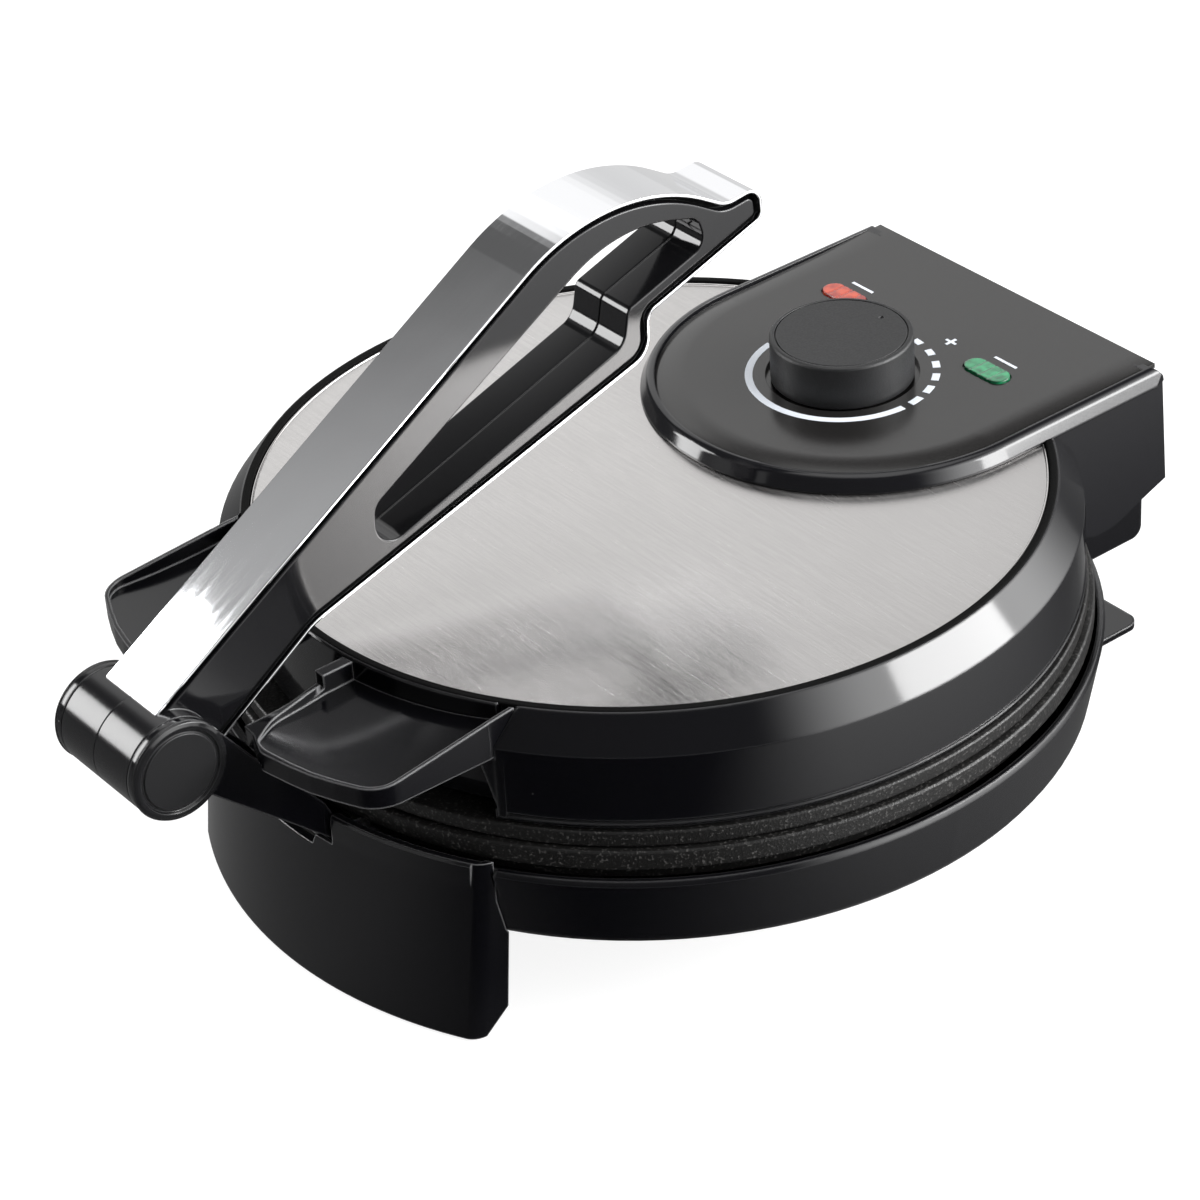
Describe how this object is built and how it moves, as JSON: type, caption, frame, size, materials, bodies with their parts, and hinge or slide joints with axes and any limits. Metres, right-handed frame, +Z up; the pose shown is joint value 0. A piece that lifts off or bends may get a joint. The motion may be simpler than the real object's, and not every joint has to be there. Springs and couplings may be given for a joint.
{
  "type": "electric roti maker",
  "caption": "Round electric flatbread press with a hinged lid, a steel top disc, a dial panel with two lamps and a long chrome pressing lever on a swinging link.",
  "frame": {"origin": "on the table, below the middle of the closed appliance's bounding box", "axes": "+Z up, -Y towards the user and the lever's barrel, +Y towards the hinge, +X to the user's right when facing the panel"},
  "size_m": [0.2858, 0.3698, 0.2164],
  "materials": {
    "gloss_black": "glossy black moulded plastic",
    "rubber": "soft black rubber",
    "plate_coating": "textured dark non-stick coating",
    "inner_steel": "plain steel",
    "ceramic": "cream insulating plastic",
    "brushed_disc": "finely brushed",
    "panel_satin": "satin warm dark grey",
    "white_print": "printed",
    "red_lens": "translucent red",
    "green_lens": "translucent green",
    "knob_black": "matte black",
    "chrome": "mirror-bright plated"
  },
  "bodies": {
    "base": {"base_shell": "gloss_black", "bottom_cover": "gloss_black", "leg_shield": "gloss_black", "hinge_block": "gloss_black", "rear_foot": "gloss_black", "rubber_feet": "rubber", "lower_plate": "plate_coating", "lower_element": "inner_steel", "lower_reflector": "inner_steel", "link_bracket": "inner_steel", "link_pin": "inner_steel", "hinge_pin": "inner_steel", "terminal_block": "ceramic", "cord_gland": "rubber", "base_screws": "inner_steel", "plate_screws": "inner_steel"},
    "lid": {"lid_shell": "gloss_black", "lid_wings": "gloss_black", "steel_disc": "brushed_disc", "control_housing": "gloss_black", "control_panel": "panel_satin", "dial_print": "white_print", "red_lens": "red_lens", "green_lens": "green_lens", "lamp_holders": "ceramic", "upper_plate": "plate_coating", "upper_element": "inner_steel", "upper_reflector": "inner_steel", "thermostat": "ceramic", "thermal_fuse": "inner_steel", "hinge_ears": "inner_steel", "lid_screws": "inner_steel"},
    "knob": {"knob": "knob_black", "knob_cap": "knob_black", "thermostat_shaft": "inner_steel"},
    "link": {"link_arm": "gloss_black", "end_caps": "gloss_black", "lever_pin": "inner_steel"},
    "lever": {"lever_frame": "chrome", "left_grip": "gloss_black", "right_grip": "gloss_black", "lever_screws": "inner_steel"}
  },
  "joints": [
    {"name": "lid_hinge", "type": "hinge", "parent": "base", "child": "lid", "pos_m": [0, 0.16758, 0.0595], "axis": [-1, 0, 0], "range_deg": [0, 77.1]},
    {"name": "knob_turn", "type": "hinge", "parent": "lid", "child": "knob", "pos_m": [0, 0.10287, 0.115], "axis": [0, 0, 1], "range_deg": [-260, 0]},
    {"name": "link_swing", "type": "hinge", "parent": "base", "child": "link", "pos_m": [0, -0.11643, 0.0542], "axis": [1, 0, 0], "range_deg": [0, 8]},
    {"name": "lever_swing", "type": "hinge", "parent": "link", "child": "lever", "pos_m": [0, -0.16883, 0.1023], "axis": [1, 0, 0], "range_deg": [0, 164]}
  ],
  "couplings": [
    {"joint": "lid_hinge", "follows": "lever_swing", "ratio": 0.47}
  ]
}
